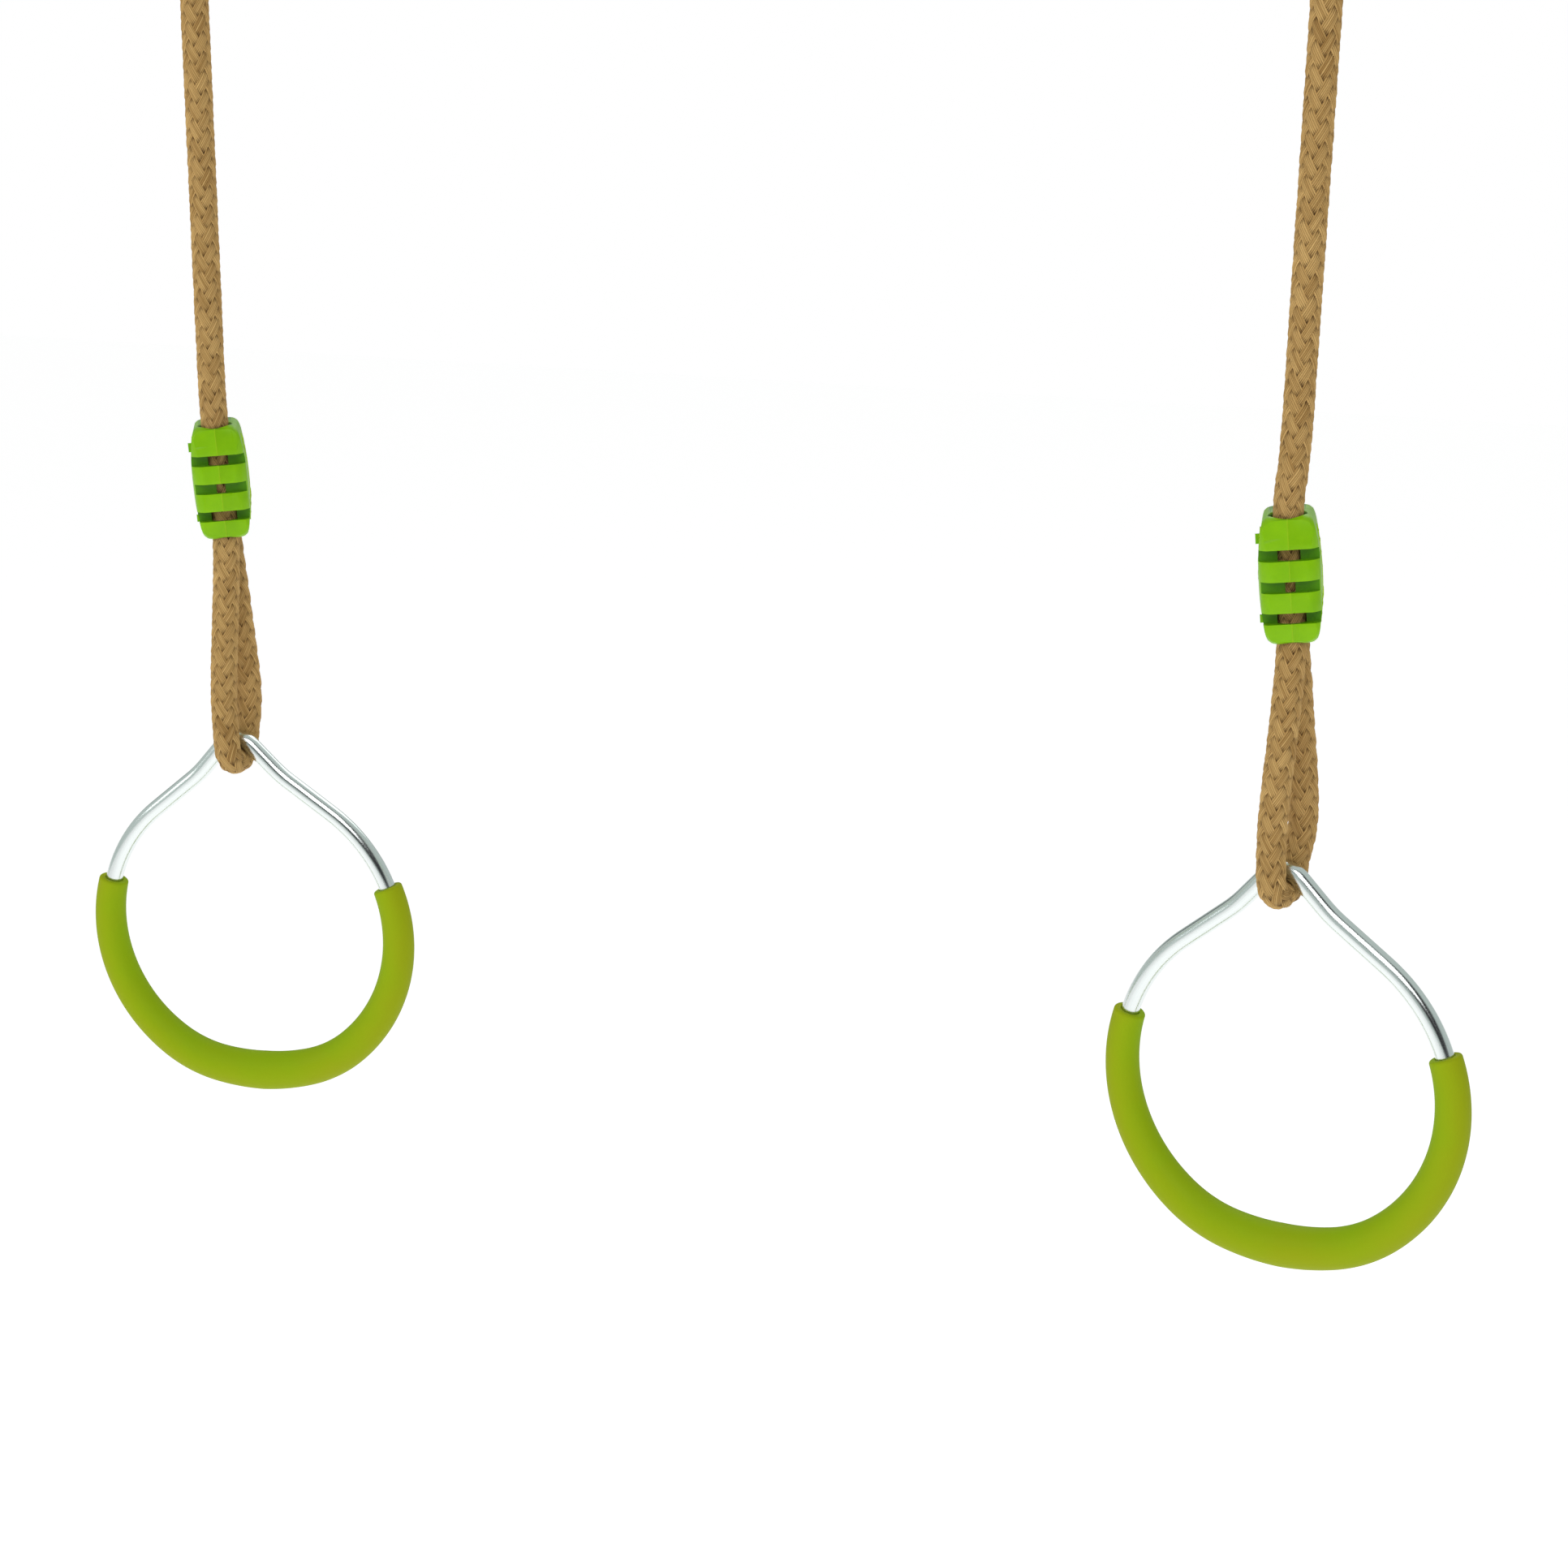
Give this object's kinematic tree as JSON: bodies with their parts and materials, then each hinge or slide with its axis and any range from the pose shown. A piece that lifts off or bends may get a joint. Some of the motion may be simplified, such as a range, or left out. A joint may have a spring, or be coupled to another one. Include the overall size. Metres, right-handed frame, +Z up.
{
  "type": "hanging trapeze rings",
  "caption": "Onion-shaped steel rings with soft lower grips, hung from swing hooks on braided ropes with slotted plastic length adjusters, for a play frame beam.",
  "frame": {"origin": "where the left hook's shank enters the underside of the beam", "axes": "+Z up along the left hook's shank; +X along the beam to the right hook; -Y to the front"},
  "size_m": [0.6604, 0.0516, 0.7755],
  "materials": {
    "galvanised_steel": "dull galvanised",
    "ferrule_steel": "pressed, satin",
    "zinc_plated_steel": "bright zinc plate",
    "rope": "flat yarns, braided",
    "lime_plastic": "glossy moulded",
    "soft_grip": "satin soft vinyl"
  },
  "bodies": {
    "hooks": {"left_hook": "galvanised_steel", "right_hook": "galvanised_steel"},
    "left_link_body": {"left_link": "galvanised_steel"},
    "left_eye": {"left_thimble": "galvanised_steel", "left_rope_eye": "rope", "left_ferrule": "ferrule_steel"},
    "left_rope": {"left_main_rope": "rope"},
    "left_loop": {"left_front_leg": "rope", "left_rope_bend": "rope", "left_rear_leg": "rope"},
    "left_adjuster": {"left_adjuster_half_a": "lime_plastic", "left_adjuster_half_b": "lime_plastic", "left_rope_tail": "rope", "left_tail_stop": "ferrule_steel"},
    "left_ring": {"left_ring_rod": "zinc_plated_steel", "left_ring_grip": "soft_grip"},
    "right_link_body": {"right_link": "galvanised_steel"},
    "right_eye": {"right_thimble": "galvanised_steel", "right_rope_eye": "rope", "right_ferrule": "ferrule_steel"},
    "right_rope": {"right_main_rope": "rope"},
    "right_loop": {"right_front_leg": "rope", "right_rope_bend": "rope", "right_rear_leg": "rope"},
    "right_adjuster": {"right_adjuster_half_a": "lime_plastic", "right_adjuster_half_b": "lime_plastic", "right_rope_tail": "rope", "right_tail_stop": "ferrule_steel"},
    "right_ring": {"right_ring_rod": "zinc_plated_steel", "right_ring_grip": "soft_grip"}
  },
  "joints": [
    {"name": "left_sway", "type": "hinge", "parent": "hooks", "child": "left_link_body", "pos_m": [0, 0, -0.043], "axis": [0, 1, 0], "range_deg": [-30, 30]},
    {"name": "left_swing", "type": "hinge", "parent": "left_link_body", "child": "left_eye", "pos_m": [0, 0, -0.0777], "axis": [1, 0, 0], "range_deg": [-60, 60]},
    {"name": "left_twist", "type": "hinge", "parent": "left_eye", "child": "left_rope", "pos_m": [0, -0.0063, -0.15552], "axis": [0, 0, 1], "range_deg": [-180, 180]},
    {"name": "left_lift", "type": "slide", "parent": "left_rope", "child": "left_loop", "axis": [0, 0, 1], "range_m": [-0.03, 0.07], "deforming": ["left_front_leg"]},
    {"name": "left_slide", "type": "slide", "parent": "left_loop", "child": "left_adjuster", "axis": [0, 0, 1], "range_m": [-0.03, 0.07], "deforming": ["left_rear_leg"]},
    {"name": "left_tilt", "type": "hinge", "parent": "left_loop", "child": "left_ring", "pos_m": [0, 0.003, -0.53153], "axis": [0.99, 0.1409, 0], "range_deg": [-75, 75]},
    {"name": "right_sway", "type": "hinge", "parent": "hooks", "child": "right_link_body", "pos_m": [0.492, 0, -0.043], "axis": [0, 1, 0], "range_deg": [-30, 30]},
    {"name": "right_swing", "type": "hinge", "parent": "right_link_body", "child": "right_eye", "pos_m": [0.492, 0, -0.0777], "axis": [1, 0, 0], "range_deg": [-60, 60]},
    {"name": "right_twist", "type": "hinge", "parent": "right_eye", "child": "right_rope", "pos_m": [0.492, -0.0063, -0.15552], "axis": [0, 0, 1], "range_deg": [-180, 180]},
    {"name": "right_lift", "type": "slide", "parent": "right_rope", "child": "right_loop", "axis": [0, 0, 1], "range_m": [-0.03, 0.07], "deforming": ["right_front_leg"]},
    {"name": "right_slide", "type": "slide", "parent": "right_loop", "child": "right_adjuster", "axis": [0, 0, 1], "range_m": [-0.03, 0.07], "deforming": ["right_rear_leg"]},
    {"name": "right_tilt", "type": "hinge", "parent": "right_loop", "child": "right_ring", "pos_m": [0.498, 0.004, -0.53753], "axis": [0.977, -0.213, 0], "range_deg": [-75, 75]}
  ],
  "couplings": [
    {"joint": "left_slide", "follows": "left_lift", "ratio": 1},
    {"joint": "right_slide", "follows": "right_lift", "ratio": 1}
  ]
}
